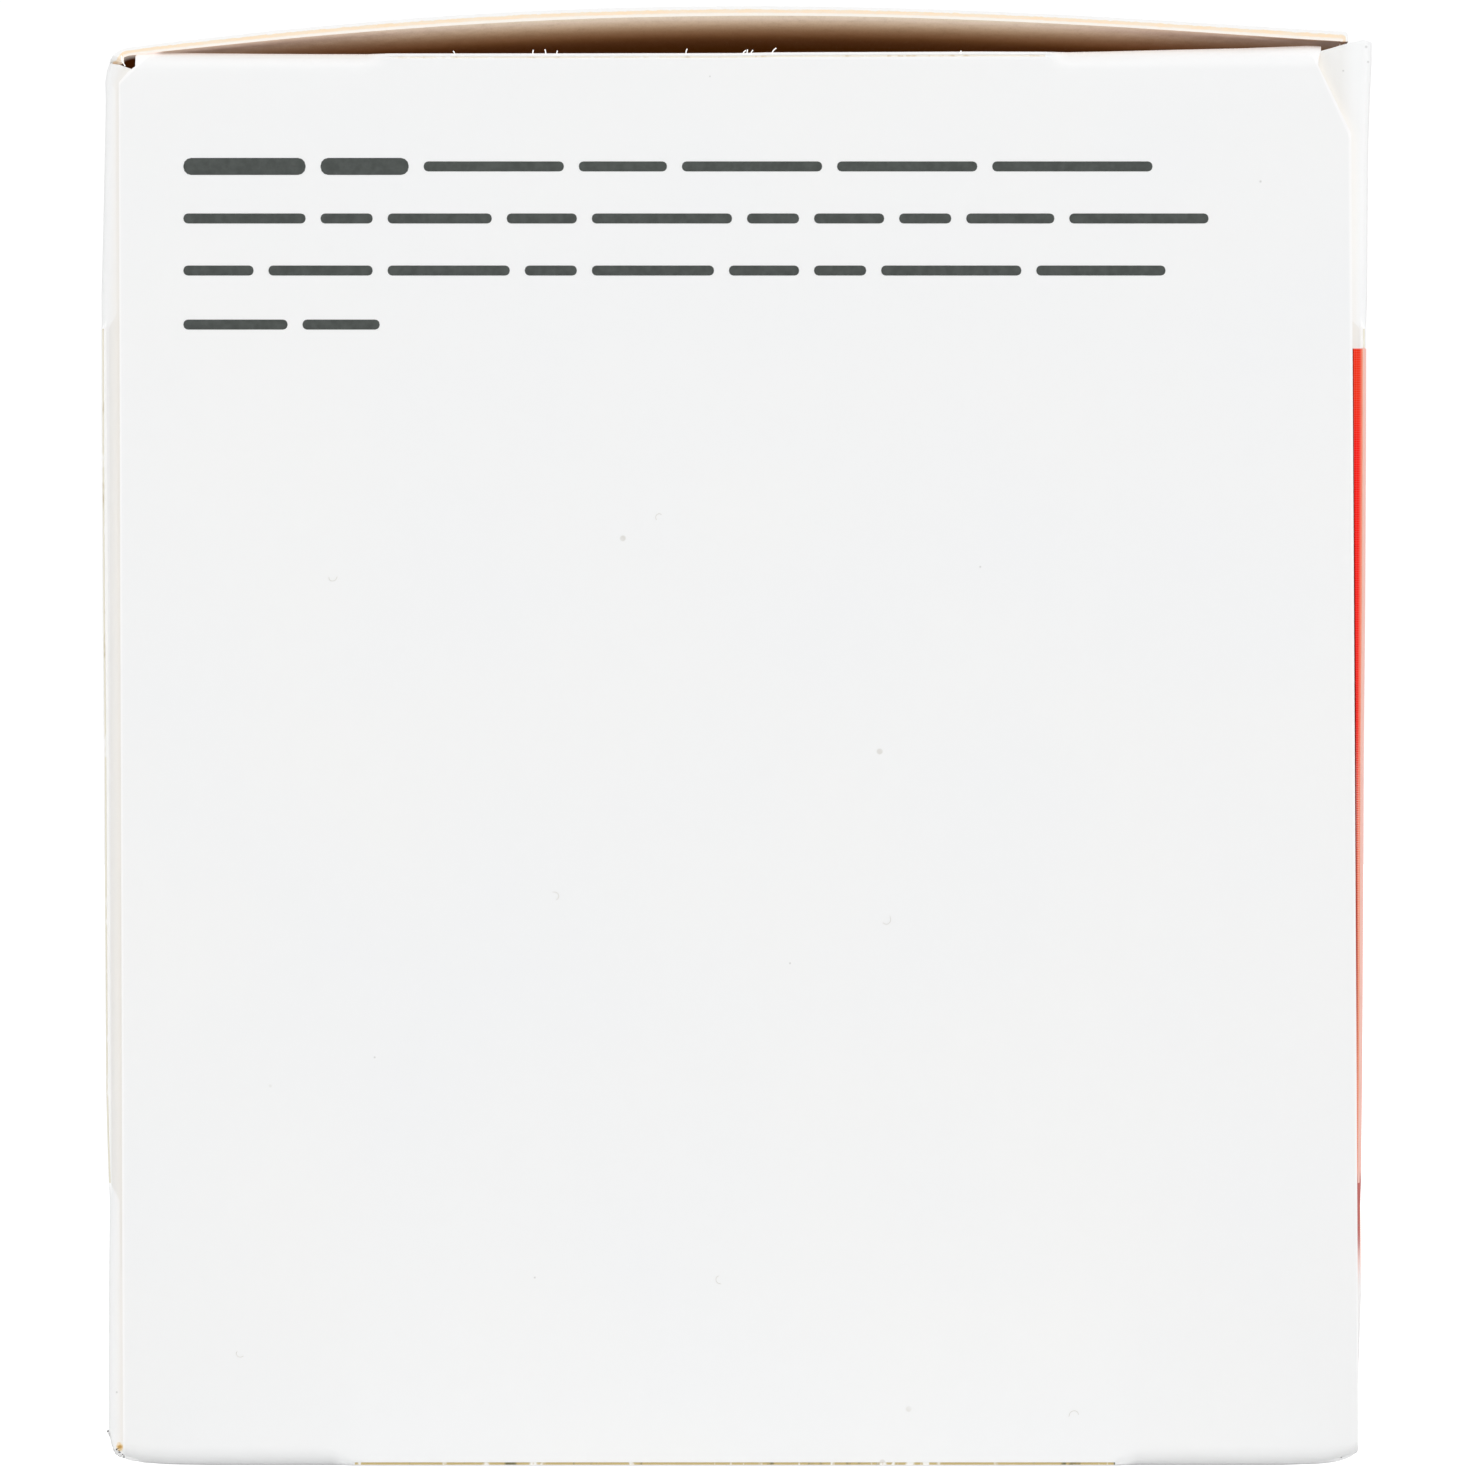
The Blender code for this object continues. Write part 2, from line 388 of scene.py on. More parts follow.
def front_wall(z, y):
    near_end = smooth_step(abs(y), WAVY_FROM, WAVY_FULL)
    straight = 0.04 * MM + 0.58 * z / 75
    measured = along(FRONT_OUTLINE, z / MM) * MM - BASE_HALF
    return straight + (measured - straight) * near_end


front_top = BASE_HALF + front_wall(BACK_TOP, END_FACE)
print("top of the front wall, mm from the middle:", round(front_top / MM, 2))

# %% [markdown]
# Bend and shear need a window, so the points are moved here by rule. The lid's points only get
# their ends. The points of the corner folds go to the cut profile, and then the walls lean.

# %% Moving the points
def on_lid(x, y, z):
    """Whether a point of the wrap belongs to the lid, its hinge or its tuck."""
    if abs(y) >= NEAR_WALL + CLOSE * 20:
        return x < 0 and z > BACK_TOP + CLOSE * 10
    if z > 50 * MM and abs(x) < TUCK_X + CLOSE * 10:
        return True
    return x < 0 and z > BACK_TOP + CLOSE * 10 or z > 74.8 * MM and x < TUCK_X + CLOSE * 10


depth = depth_values(wrap)
slit_points = 0
for vertex in wrap.data.vertices:
    x, y, z = vertex.co
    side, end = (-1 if x < 0 else 1), (-1 if y < 0 else 1)
    if on_lid(x, y, z):
        if x > last_x + 0.05 * MM and z < lid_height(last_x) - sum(TUCK_BEND) / 2 * MM:
            vertex.co.y = max(min(y, TUCK_END), -TUCK_END)  # the tuck is cut narrower than the lid
        elif abs(y) > NEAR_WALL - CLOSE * 20:
            vertex.co.y = end * (LID_END - (0.12 * MM if z < BACK_TOP + 0.25 * MM else 0))
        if x < -31 * MM:
            vertex.co.x -= back_wall(BACK_TOP, y) * (1 - smooth_step(x, -33.1 * MM, -31 * MM))
        continue
    inset, behind = BASE_HALF - abs(x), FLAP_FACE - abs(y)
    if inset < SOFT_FOLD + CLOSE and behind < SOFT_FOLD + CLOSE and z > 1.2 * MM:
        angle = math.degrees(math.atan2(SOFT_FOLD - behind, SOFT_FOLD - inset))
        order = min(max(round(angle / 90 * SOFT_STEPS), 0), SOFT_STEPS)
        share = in_cut(z)
        a, b = (BACK_CUT_FOLD if side < 0 else FRONT_CUT_FOLD)[order]
        inset += (a * MM - inset) * share
        behind += (b * MM - behind) * share
        vertex.co.x, vertex.co.y = side * (BASE_HALF - inset), end * (FLAP_FACE - behind)
        if order in (2, 3):
            depth[vertex.index].value = 0.5 * smooth_step(share, 0.2, 0.8)
            slit_points += 1
    if abs(x) > 31 * MM:
        lean = back_wall if side < 0 else front_wall
        vertex.co.x += side * lean(z, y) * smooth_step(abs(x), 30 * MM, 32.4 * MM)
    lifted = foot(vertex.co.x) * smooth_step(abs(y), CURL_FROM, CURL_FULL)
    vertex.co.z = max(vertex.co.z, lifted)
    top = flap_top(vertex.co.x)
    if abs(y) > NEAR_WALL - CLOSE * 10 and abs(x) > 30 * MM and vertex.co.z > top:
        vertex.co.z = top
print("slit points:", slit_points)

# %% [markdown]
# The sheet now gets its thickness. Its inner face follows the walls, and stays out of the tight
# folds. At the lid's hinge the cut edge spreads its layers, and the lid's board has swollen a
# little along its bow, so there the inner face lies further in.

# %% Thickness of the wrap
FAN_X = -32.35 * MM  # at the lid's hinge the cut edge spreads its layers this far in
for vertex in wrap.data.vertices:
    x, y, z = vertex.co
    if z > BACK_TOP - CLOSE * 10 and x < -32.6 * MM and abs(y) > 62.9 * MM:
        depth[vertex.index].value = -0.05
for face in wrap.data.polygons:
    if min(depth[i].value for i in face.vertices) > 0.3:
        face.material_index = SLIT


LID_SWELL = (
    (-31.5, 0), (-28, 0.04), (-17, 0.1), (-3, 0.1), (5, 0.07), (20, 0.06), (29, 0.09), (32, 0.11),
)


def fanned(x, y, z):
    """Where the layers spread at the near end of the hinge, the inner face lies further in."""
    if x < -32 * MM and abs(y) > 62 * MM:
        x = max(x, FAN_X)
    if x > -32 * MM and z > lid_height(x) - 0.55 * MM:
        z -= along(LID_SWELL, x / MM) * MM
    return Vector((x, y, z))


def inside_wrap(point):
    x, y, z = point
    if x > TUCK_X - 0.8 * MM and z > 74 * MM and abs(y) < NEAR_WALL + 0.7 * MM and x < TUCK_X:
        return Vector((min(x, TUCK_X - BOARD), y, min(z, lid_height(last_x) - BOARD - 0.1 * MM)))
    if z > BACK_TOP or abs(x) < 31 * MM and z > 50 * MM:
        return fanned(x, y, z)
    if z > BACK_TOP - 0.03 * MM and x < -32 * MM and abs(y) > 62 * MM:
        return fanned(x, y, z)
    wall = BASE_HALF - BOARD + (back_wall(z, y) if x < 0 else front_wall(z, y))
    x = min(max(x, -wall), wall)
    if z < 2.5 * MM:
        z = max(z, BOARD + foot(x * 1.01) * smooth_step(abs(y), CURL_FROM, CURL_FULL))
    y = min(max(y, -(FLAP_FACE - BOARD)), FLAP_FACE - BOARD)
    return Vector((x, y, z))


thicken(wrap, inside_wrap)

# %% [markdown]
# ## The end panels
#
# An end panel is one ply that is folded up from the base and glued over the corner flaps. Its
# dust flap is folded in at the top, under the lid. It starts as a plane that stands on its
# edge. Its corners go to where the leaning walls need them, and both folds are bevels.

# %% One end panel
TOP_CUT = (-18.25 * MM, 16.5 * MM)
FOOT_CUT = (-20.1 * MM, 20.2 * MM)
BACK_NECK, BACK_SHOULDER = (-31.735 * MM, 74.19 * MM), (-32.66 * MM, 73.28 * MM)
FRONT_NECK, FRONT_SHOULDER = (30.96 * MM, 73.93 * MM), (32.78 * MM, 70.5 * MM)
DUST_FLAP = 34 * MM
GLUED_STRIP = 2.4 * MM  # of the panel, under the base
PANEL_HALF = 32.8 * MM
PANEL_CORNERS = (  # left or not, top or not, and where the corner lies across the box, mm
    (True, False, -32.38), (True, True, -32.61), (False, False, 33.11), (False, True, 32.69),
)

alone()
bpy.ops.mesh.primitive_plane_add(
    size=1, location=(0, -END_FACE, HEIGHT / 2), rotation=(math.pi / 2, 0, 0),
)
panel = bpy.context.object
panel.scale = (2 * PANEL_HALF, HEIGHT, 1)
settle(panel, "near_end_panel")
edit(panel)
for left, top, place in PANEL_CORNERS:
    pick("VERT", lambda m, p: (m.x < 0) == left and (m.z > HEIGHT / 2) == top)
    shift = place * MM - (-PANEL_HALF if left else PANEL_HALF)
    bpy.ops.transform.translate(value=(shift, 0, 0))
pick("EDGE", lambda m, p: m.z > HEIGHT - CLOSE * 10)
pull((0, DUST_FLAP, 0))
pick("EDGE", lambda m, p: m.z < CLOSE * 10)
pull((0, GLUED_STRIP, 0))
folds = pick(
    "EDGE", lambda m, p: abs(m.y + END_FACE) < CLOSE * 10 and abs(p[0].z - p[1].z) < CLOSE * 10
)
bpy.ops.mesh.bevel(offset=END_FOLD, segments=END_STEPS, affect="EDGES")
print("folds of the panel:", folds)

# %% [markdown]
# The folds need points wherever they turn from soft to cut, so planes slice the panel there,
# still in edit mode. Two more planes slice off the slanted corners.

# %% The panel's points and its slanted corners
stations = []
for start, stop in (TOP_CUT, FOOT_CUT):
    stations += [start - CUT_RUN, start - CUT_RUN / 2, start]
    stations += [stop, stop + CUT_RUN / 2, stop + CUT_RUN]
stations += [x * MM for x in (-30, -28, -25, -22, -10, 0, 2, 8, 13, 20, 24, 27, 29, 30.75)]
stations += [x * MM for x in (-32.1, -31.3, 31.6, 32.2, 32.7, 33.0)]
slice_at((1, 0, 0), BACK_NECK[0], FRONT_NECK[0], *stations)
slice_along(BACK_SHOULDER, BACK_NECK)
slice_along(FRONT_SHOULDER, FRONT_NECK)
slice_at((0, 0, 1), *[z * MM for z in (15, 40, 60, 72)])


def beyond(line, point):
    """Above 0 on the left side of the line, below 0 on its right side."""
    (x0, z0), (x1, z1) = line
    return (x1 - x0) * (point.z - z0) - (z1 - z0) * (point.x - x0)


remove_faces(
    lambda m: m.x < BACK_NECK[0] and m.z > 70 * MM and beyond((BACK_SHOULDER, BACK_NECK), m) > 0
)
remove_faces(
    lambda m: m.x > FRONT_NECK[0] and m.z > 70 * MM and beyond((FRONT_SHOULDER, FRONT_NECK), m) < 0
)
leave_edit()
print("flat panel:", len(panel.data.polygons), "faces")

# %% [markdown]
# The panel's folds are cut through half the board over their middle too, with a white lip
# above a thin slit. The same rule moves the points of the arc from soft to sharp.

# %% The panel's cut folds and its raised end
TOP_CUT_FOLD = [
    (0.0, 0.36), (0.0, 0.29), (0.05, 0.27), (0.03, 0.18), (-0.02, 0.14), (0.03, 0.03), (0.3, 0.0),
]
FOOT_CUT_FOLD = [
    (0.0, 0.42), (0.0, 0.22), (0.03, 0.2), (0.04, 0.08), (0.0, 0.06), (0.06, 0.02), (0.4, 0.0),
]
PANEL_TOP = (  # how far the top edge lies above the panel's height, across the box
    (-30, 0), (-27.8, -0.04), (-23.6, -0.08), (-17.2, -0.09), (-0.5, -0.08), (2, -0.03), (10.3, 0),
    (14.6, 0.02), (16.6, 0), (18.8, 0.03), (23, 0.14), (27.3, 0.235), (30.6, 0.37), (31.1, 0.32),
)


def within(x, cut):
    """1 along the cut, 0 beyond both its ends."""
    return smooth_step(x, cut[0] - CUT_RUN, cut[0]) * (1 - smooth_step(x, cut[1], cut[1] + CUT_RUN))


depth = depth_values(panel)
for vertex in panel.data.vertices:
    x, y, z = vertex.co
    behind = y + END_FACE
    for top, cut, profile in ((True, TOP_CUT, TOP_CUT_FOLD), (False, FOOT_CUT, FOOT_CUT_FOLD)):
        below = HEIGHT - z if top else z
        if below > END_FOLD + CLOSE or behind > END_FOLD + CLOSE:
            continue
        angle = math.degrees(math.atan2(END_FOLD - below, END_FOLD - behind))
        order = min(max(round(angle / 90 * END_STEPS), 0), END_STEPS)
        share = within(x, cut)
        back, down = profile[order]
        behind += (back * MM - behind) * share
        below += (down * MM - below) * share
        vertex.co.y = behind - END_FACE
        vertex.co.z = HEIGHT - below if top else below
        if order in (2, 3):
            depth[vertex.index].value = 0.5 * smooth_step(share, 0.2, 0.8)
    if z < 2 * MM:
        lifted = foot(x) * (1 - smooth_step(y, -CURL_FULL, -CURL_FROM))
        vertex.co.z += lifted * (1 - z / (2 * MM))
    if z > 70 * MM:
        vertex.co.z += along(PANEL_TOP, x / MM) * MM * smooth_step(z, 70 * MM, 74.5 * MM)
        if x > FRONT_NECK[0] - CLOSE * 10:
            vertex.co.x += 0.19 * MM * smooth_step(z, 74 * MM, 75 * MM)
for face in panel.data.polygons:
    if min(depth[i].value for i in face.vertices) > 0.3:
        face.material_index = SLIT


def inside_panel(point):
    x, y, z = point
    raised = along(PANEL_TOP, x / MM) * MM
    if y < -END_FACE + 1.5 * MM:
        y = max(y, -END_FACE + BOARD)
        z = min(z, HEIGHT - BOARD + raised)
    if z < 2 * MM:
        z = max(z, BOARD + foot(x) * (1 - smooth_step(y, -CURL_FULL, -CURL_FROM)))
    return Vector((x, y, z))


thicken(panel, inside_panel)

# %% [markdown]
# The other end is alike. A copy with its own mesh is mirrored, and its faces are turned the
# right way out again, because a mirror turns a shape inside out.

# %% The far end panel
alone(panel)
bpy.ops.object.duplicate()
far_panel = bpy.context.object
far_panel.scale.y = -1
settle(far_panel, "far_end_panel")
edit(far_panel)
bpy.ops.mesh.select_all(action="SELECT")
bpy.ops.mesh.normals_make_consistent(inside=False)
leave_edit()

# %% [markdown]
# ## Ink
#
# Rows of small dark print stand on the end panel. They are kept as plain bars with rounded
# ends, one for each word's length, which is how a layout shows type before it is set.

# %% Bars of ink
SCALE = 18.85  # parts to 1 mm on the drawing of the end, whose corner is at the upper left
ROWS = ((167, 1152), (219, 1208), (271, 1165), (325, 380))  # each row's middle and right end
ROW_START, WORD_GAP, SHORTEST = 184, 15, 20
WORDS = (52, 70, 88, 104, 122, 140)
INK = 0.012 * MM


def across(px):
    """Place across the box of a point of the drawing."""
    return (px - 734) / SCALE * MM


def up(py):
    """Height above the floor of a point of the drawing."""
    return (1465.5 - py) / SCALE * MM


random.seed(5)
bars = []
for number, (row, right) in enumerate(ROWS):
    left = ROW_START
    while left < right - SHORTEST:
        heavy = number == 0 and left < 420
        length = random.choice(WORDS)
        end = right if right - left - length < 60 else left + length
        half = 8.5 if heavy else 5
        low = (across(left), -END_FACE - INK, up(row + half))
        high = (across(end), -END_FACE + 0.004 * MM, up(row - half))
        bar = block("bar", low, high)
        edit(bar)
        pick("EDGE", lambda m, p: abs(p[0].y - p[1].y) > INK / 2)
        bpy.ops.mesh.bevel(offset=half * 0.9 / SCALE * MM, segments=3, affect="EDGES")
        leave_edit()
        bars.append(bar)
        left = end + WORD_GAP
ink_rows = join(bars, "ink_rows")
print("bars of ink:", len(bars))

# %% [markdown]
# ## Loose fibres
#
# Recycled board sheds fibres. Each is a thin curve with a round section, made into a mesh. A few
# curled ones lie on the end panel.

# %% Curled fibres
def strand(name, points, radius):
    alone()
    bpy.ops.curve.primitive_bezier_curve_add()
    curve = bpy.context.object
    spline = curve.data.splines[0]
    spline.bezier_points.add(len(points) - 2)
    for knot, point in zip(spline.bezier_points, points):
        knot.co = point
        knot.handle_left_type = knot.handle_right_type = "AUTO"
    curve.data.resolution_u = 4
    curve.data.bevel_depth = radius
    curve.data.bevel_resolution = 1
    curve.data.use_fill_caps = True
    bpy.ops.object.convert(target="MESH")
    return settle(bpy.context.object, name)


curls = []
for px, py, turn, size in (
    (1075, 1415, 0.3, 0.36), (720, 1278, 1.9, 0.3), (885, 920, 4.0, 0.34), (240, 1352, 2.6, 0.28),
    (555, 897, 5.2, 0.3), (660, 517, 0.9, 0.26), (332, 577, 3.3, 0.3),
):
    points = []
    for i in range(5):
        angle = turn + i * 0.75
        reach = size * MM * (0.5 + 0.12 * i)
        x = across(px) + reach * math.cos(angle)
        z = up(py) + reach * math.sin(angle)
        points.append((x, -END_FACE - 0.006 * MM, z))
    curls.append(strand("curl", points, 0.016 * MM))
curled_fibres = join(curls, "curled_fibres")
print("curled fibres:", len(curls))

# %% [markdown]
# White burrs stand on the lip of the cut fold, each with a place, a length and a tilt. One more
# fibre hangs at the lid's hinge.

# %% Burrs
burrs = []
for px, length, tilt in (
    (533, 0.14, 0.1), (546, 0.17, -0.2), (557, 0.1, 0.1), (686, 0.2, 0.25), (743, 0.12, 0.6),
    (747, 0.16, 0.1), (751, 0.13, 0.4), (772, 0.24, 0.9), (455, 0.08, -0.3), (960, 0.1, 0.2),
):
    root = Vector((across(px), -END_FACE + 0.01 * MM, HEIGHT - 0.12 * MM))
    middle = root + Vector((tilt * 0.06, -0.05, length * 0.6)) * MM
    tip = root + Vector((tilt * 0.25, -0.04, length + 0.06)) * MM
    burrs.append(strand("burr", [root, middle, tip], 0.03 * MM))
hinge_fibre = [(across(px), -63.75 * MM, up(py)) for px, py in ((121.5, 56), (122.5, 61), (125.5, 66.5))]
burrs.append(strand("hinge_fibre", hinge_fibre, 0.03 * MM))
lip_burrs = join(burrs, "lip_burrs")
print("burrs:", len(burrs))

# %% [markdown]
# ## Finishes
#
# A small class wraps a socket, so that a finish is written as sums: 1 - mask makes its Math
# node by itself. Any other node comes from one method, with its settings before its sockets.

# %% Nodes as sums
class Flow:
    """One output of a material's nodes."""

    def __init__(self, tree, output):
        self.tree, self.output = tree, output

    def node(self, kind, settings, sockets, out=0):
        made = self.tree.nodes.new(kind)
        for name, value in settings.items():
            if name == "stops":
                set_stops(made.color_ramp, value)
            else:
                setattr(made, name, value)
        for name, value in sockets.items():
            if isinstance(value, Flow):
                self.tree.links.new(value.output, made.inputs[name])
            else:
                made.inputs[name].default_value = value
        return Flow(self.tree, made.outputs[out])

    def math(self, operation, first, second=0.0):
        return self.node("ShaderNodeMath", {"operation": operation}, {0: first, 1: second})

    def __add__(self, other):
        return self.math("ADD", self, other)

    def __sub__(self, other):
        return self.math("SUBTRACT", self, other)

    def __rsub__(self, other):
        return self.math("SUBTRACT", other, self)

    def __mul__(self, other):
        return self.math("MULTIPLY", self, other)

    __radd__, __rmul__ = __add__, __mul__

    def unsigned(self):
        return self.math("ABSOLUTE", self)

    def above(self, edge, run):
        """0 below the edge and 1 above it, turning over the run."""
        sockets = {"Value": self, "From Min": edge - run / 2, "From Max": edge + run / 2}
        return self.node("ShaderNodeMapRange", {"interpolation_type": "SMOOTHSTEP"}, sockets)

    def below(self, edge, run):
        return 1 - self.above(edge, run)

    def noise(self, scale, detail=2.0, rough=0.5):
        sockets = {"Vector": self, "Scale": scale, "Detail": detail, "Roughness": rough}
        return self.node("ShaderNodeTexNoise", {}, sockets)

    def cells(self, scale):
        """Distance from the nearest of many scattered points."""
        return self.node("ShaderNodeTexVoronoi", {}, {"Vector": self, "Scale": scale})

    def stretched(self, scale):
        return self.node("ShaderNodeMapping", {}, {"Vector": self, "Scale": scale})

    def part(self, name):
        return self.node("ShaderNodeSeparateXYZ", {}, {"Vector": self}, "XYZ".index(name))

    def spot(self, x, z, radius):
        """1 in a soft round spot on the near end, 0 elsewhere."""
        aside, over = self.part("X") - x, self.part("Z") - z
        reach = self.math("SQRT", aside * aside + over * over)
        return self.part("Y").below(-62 * MM, MM) * reach.below(radius, radius)

    def mixed(self, first, second):
        """The first colour where this is 0, the second where it is 1."""
        return self.node("ShaderNodeMix", {"data_type": "RGBA"}, {0: self, 6: first, 7: second}, 2)

    def times(self, tint):
        """This colour, multiplied by a tint."""
        settings = {"data_type": "RGBA", "blend_type": "MULTIPLY"}
        return self.node("ShaderNodeMix", settings, {0: 1.0, 6: self, 7: tint}, 2)


def set_stops(ramp, stops):
    while len(ramp.elements) < len(stops):
        ramp.elements.new(0.5)
    for element, (place, colour) in zip(ramp.elements, stops):
        element.position, element.color = place, colour


def shade(red, green, blue):
    """A colour as seen on a screen, 0 to 255, for the shader."""
    linear = []
    for value in (red / 255, green / 255, blue / 255):
        linear.append(((value + 0.055) / 1.055) ** 2.4 if value > 10 / 255 else value / 12.92)
    return (*linear, 1)


def new_finish(name, roughness, specular=0.5):
    """A material, its shader node and a flow of Object coordinates to start from."""
    material = bpy.data.materials.new(name)
    material.use_nodes = True
    tree = material.node_tree
    shader = tree.nodes["Principled BSDF"]
    shader.inputs["Roughness"].default_value = roughness
    shader.inputs["Specular IOR Level"].default_value = specular
    place = Flow(tree, tree.nodes.new("ShaderNodeTexCoord").outputs["Object"])
    return material, shader, place


def feed(shader, name, flow):
    flow.tree.links.new(flow.output, shader.inputs[name])


def bump(shader, flow, height, strength=1.0):
    sockets = {"Height": flow, "Distance": height, "Strength": strength}
    feed(shader, "Normal", flow.node("ShaderNodeBump", {}, sockets))


# %% [markdown]
# The coated face is a very even white. Close to, it has small beige flecks and grey specks. The
# panel's cut edges and its soft top fold are painted a little brighter, a painted highlight.

# %% White coat
PANEL_MARKS = (
    (980, 567, 0.05), (790, 963, 0.05), (535, 1277, 0.05), (375, 1057, 0.05), (1260, 182, 0.06),
    (710, 77, 0.04),
)
FLAP_MARKS = (
    (1366, 47, 0.07), (1368, 62, 0.06), (1343, 71, 0.05), (1359, 1225, 0.05), (117, 1392, 0.05),
)


def white_coat(place, white):
    """Adds warmer patches, flecks and specks to the white."""
    warmth = (place.noise(90.0, 2.0) - 0.5) * 1.2 + 0.5
    white = warmth.mixed(white, shade(244, 244, 243))
    flecks = place.cells(330.0).below(0.05, 0.03) * place.noise(120.0, 1.0).above(0.68, 0.04)
    white = (flecks * 0.35).mixed(white, shade(176, 168, 150))
    specks = place.cells(170.0).below(0.014, 0.008) * place.noise(60.0, 1.0).above(0.7, 0.02)
    return (specks * 0.7).mixed(white, shade(120, 116, 110))


def painted_rim_highlight(place, white):
    """The panel's colour, with a painted highlight along its cut edges and its top fold."""
    x, z = place.part("X"), place.part("Z")
    left, right = (x + z * 0.0034) * -1.0, x + z * 0.0067
    rim = left.above(32.28 * MM, 0.12 * MM) + right.above(33.05 * MM, 0.14 * MM)
    front_cut, back_cut = x * 0.911 + z * 0.413, z * 0.713 - x * 0.7
    rim = rim + front_cut.above(58.8 * MM, 0.12 * MM) + back_cut.above(75.0 * MM, 0.1 * MM)
    soft = 1 - x.above(-18.8 * MM, MM) * x.below(17 * MM, MM)
    near_top = z.above(74.2 * MM, 0.4 * MM) * 0.5 + z.above(74.8 * MM, 0.4 * MM) * 0.75
    rim = rim + soft * near_top + (1 - soft) * z.above(74.56 * MM, 0.08 * MM) * 0.6
    # painted highlight: the white is mixed towards a brighter white along the cut edges and the top fold
    return (rim.math("MINIMUM", rim, 1.2) * 0.8).mixed(white, shade(252, 252, 252))


print("marks:", len(PANEL_MARKS), "on the panel,", len(FLAP_MARKS), "on the corner flaps")

# %% [markdown]
# On the front wall a red print runs down into pale salmon, and its edge wraps round onto the
# corner flap. There the ink is worn on the fold and in shadow behind it, and it ends in a dark
# line. Fine halftone dots show in the paler part.

# %% The print
PRINT_STOPS = [
    (0.15, shade(248, 156, 124)), (0.33, shade(246, 136, 100)), (0.42, shade(240, 96, 66)),
    (0.47, shade(238, 54, 28)), (0.52, shade(246, 18, 6)), (0.72, shade(252, 8, 2)),
    (0.76, shade(246, 50, 6)),
]
DOT_PITCH = 26000.0
PRINT_TOP = 59.25 / 75  # of the wall's height


def halftone(place):
    wrapped, z = place.part("X") - place.part("Y"), place.part("Z")
    rising, falling = (wrapped + z) * DOT_PITCH, (wrapped - z) * DOT_PITCH
    return (rising.math("SINE", rising) * falling.math("SINE", falling)).above(0.0, 0.8)


def printed(place, white):
    """The wrap's colour with its print."""
    x, z = place.part("X"), place.part("Z")
    height = z * (1 / (75 * MM))
    ink = height.node("ShaderNodeValToRGB", {"stops": PRINT_STOPS}, {"Fac": height})
    thin = 1 - height.above(0.49, 0.08) * 0.86
    ink = (halftone(place) * thin * 0.5).mixed(ink, shade(252, 236, 226))
    fold = place.part("Y").unsigned().above(63.2 * MM, 0.1 * MM)
    worn = fold * (x - z * 0.0062).above(32.91 * MM, 0.24 * MM)
    ink = (worn * 0.9).mixed(ink, shade(250, 176, 148))
    outermost = fold * (x - z * 0.0062).above(33.09 * MM, 0.04 * MM)
    ink = (outermost * 0.8).mixed(ink, shade(240, 198, 192))
    shadow = fold * (x + z * 0.007).below(33.26 * MM, 0.07 * MM)
    shadow = shadow * (height.above(0.31, 0.14) * 0.78 + 0.14)
    ink = shadow.mixed(ink, height.above(0.45, 0.2).mixed(shade(172, 60, 48), shade(92, 24, 22)))
    line = fold * height.above(0.15, 0.02) * height.below(0.205, 0.01)
    ink = (line * 0.85).mixed(ink, shade(180, 98, 98))
    reach = x.above(32.6 * MM, 0.03 * MM)
    field = reach * height.below(PRINT_TOP, 0.0012) * height.above(0.145, 0.05)
    return field.mixed(white, ink)


print("print, mm above the floor:", round(0.12 * 75, 1), "to", round(PRINT_TOP * 75, 1))

# %% [markdown]
# The corner flaps lie a little behind the panel and the cut folds. There their colour is painted
# dimmer, as painted shade, and painted brighter on the folds' lips and on the broad flap at the upper
# right, as painted highlights. At the lower left corner the coat is worn through, down to the core.

# %% Corner flaps, and the finishes of the coat
def painted_flap_light_and_shade(place, colour):
    x, y, z = (place.part(name) for name in "XYZ")
    sideways, endwards = x.unsigned(), y.unsigned().above(63.45 * MM, 0.1 * MM)
    cut_part = z.above(14.5 * MM, MM) * z.below(60.7 * MM, MM)
    right, upper = x.above(0.0, MM), z.above(61 * MM, MM)
    high = z.above(73.1 * MM, 0.5 * MM) * (1 - right)
    drawn = sideways - z * 0.0034 - cut_part * 0.4 * MM - high * 0.25 * MM
    drawn = drawn + right * ((1 - cut_part) * 0.6 * MM + cut_part * 0.23 * MM - z * 0.0043)
    # painted highlight: the broad flap at the upper right is mixed towards a brighter white
    bright = endwards * right * z.above(63 * MM, 5 * MM)
    colour = (bright * 0.3).mixed(colour, shade(253, 254, 254))
    lean = z * (right * 0.0004 + 0.0058)
    # painted highlight: the lips of the cut folds are painted white, except where the print is
    lip = endwards * cut_part * (sideways - lean + right * 0.07 * MM).above(32.93 * MM, 0.04 * MM)
    inked = right * z.below(59.3 * MM, 0.1 * MM)
    colour = (lip * (1 - inked)).mixed(colour, shade(255, 255, 255))
    # painted shade: the flaps just behind the panel's edge are darkened, and the upper right corner too
    recess = endwards * drawn.below(32.54 * MM, 0.08 * MM)
    recess = recess * z.above(11 * MM, 4 * MM) * (1 - (1 - right) * upper * 0.6)
    corner = right * upper
    faint = z.above(71 * MM, 2 * MM) * (1.5 - x.above(32.4 * MM, 1.3 * MM) * 1.5)
    recess = recess * (1 - corner) * (1 - lip) + endwards * corner * faint
    return (recess * 0.9).mixed(colour, colour.times(shade(249, 248, 246)))


def worn_corner(place, colour):
    aside, over = place.part("X") + 32.57 * MM, place.part("Z") - 1.0 * MM
    square = aside * aside * 1.6 + over * over
    ragged = square.math("SQRT", square) + (place.noise(4200.0, 2.0) - 0.5) * 0.3 * MM
    worn = ragged.below(0.22 * MM, 0.12 * MM) * place.part("Y").below(-62 * MM, MM)
    deep = ragged.below(0.12 * MM, 0.12 * MM)
    return worn.mixed(colour, deep.mixed(shade(238, 214, 172), shade(196, 156, 90)))


